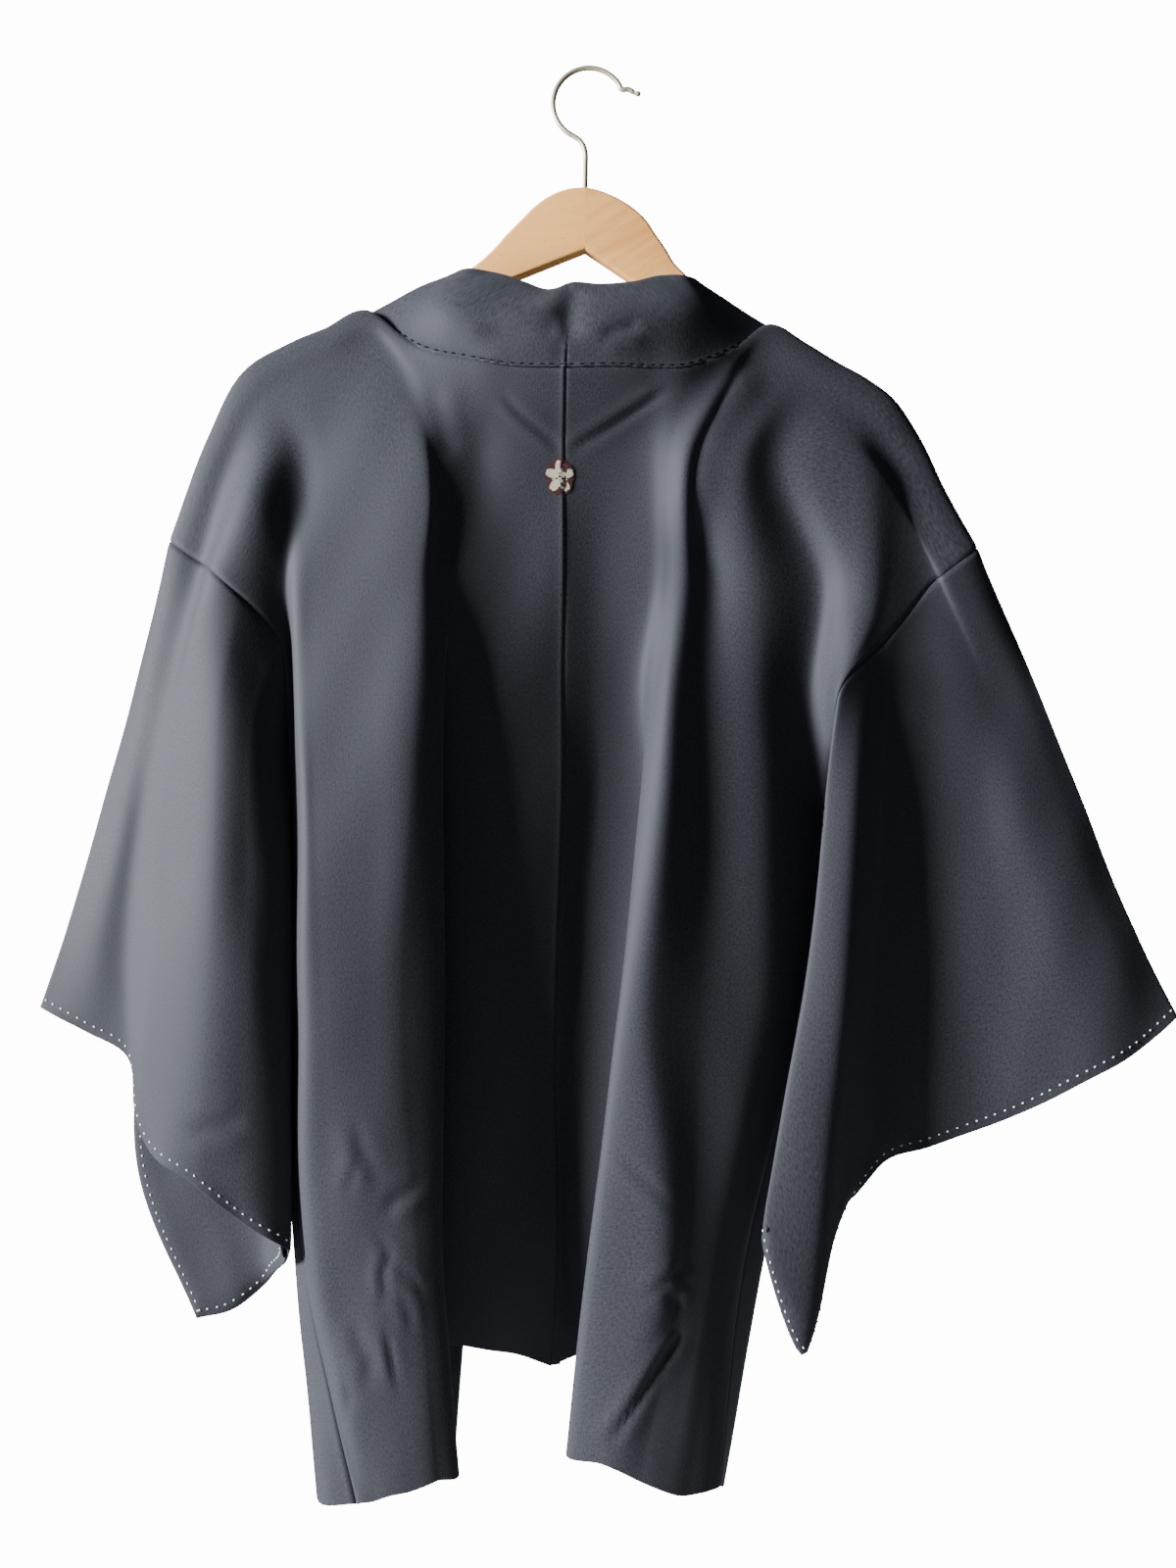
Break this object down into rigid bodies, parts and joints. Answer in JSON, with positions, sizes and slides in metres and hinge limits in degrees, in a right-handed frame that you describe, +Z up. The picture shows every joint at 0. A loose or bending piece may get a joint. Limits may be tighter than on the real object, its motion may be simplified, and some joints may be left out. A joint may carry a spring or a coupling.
{
  "type": "haori jacket on a wooden hanger",
  "caption": "Open-fronted silk jacket with wide hanging sleeves and a folded collar band, hung by its shoulders on a flat wooden hanger with a wire hook.",
  "frame": {"origin": "Inside of the crest of the hanger's hook, where it rests on a rod or a pin", "axes": "+Z up, along the hanging jacket's length; +X to the wearer's right, along the hanger; +Y the way the wearer faces, through the jacket's thin depth, so its back faces -Y"},
  "size_m": [0.7506, 0.1054, 0.9353],
  "materials": {
    "cloth": "matte silk crepe",
    "crest": "matte dyed silk",
    "wood": "satin beech",
    "steel": "brushed nickel plate"
  },
  "bodies": {
    "root": {"body_left": "cloth", "body_right": "cloth", "sleeve_left": "cloth", "sleeve_right": "cloth", "collar": "cloth", "gusset_left": "cloth", "gusset_right": "cloth", "crest": "crest", "hanger_arm_left": "wood", "hanger_arm_right": "wood", "hanger_hook": "steel"}
  },
  "joints": []
}
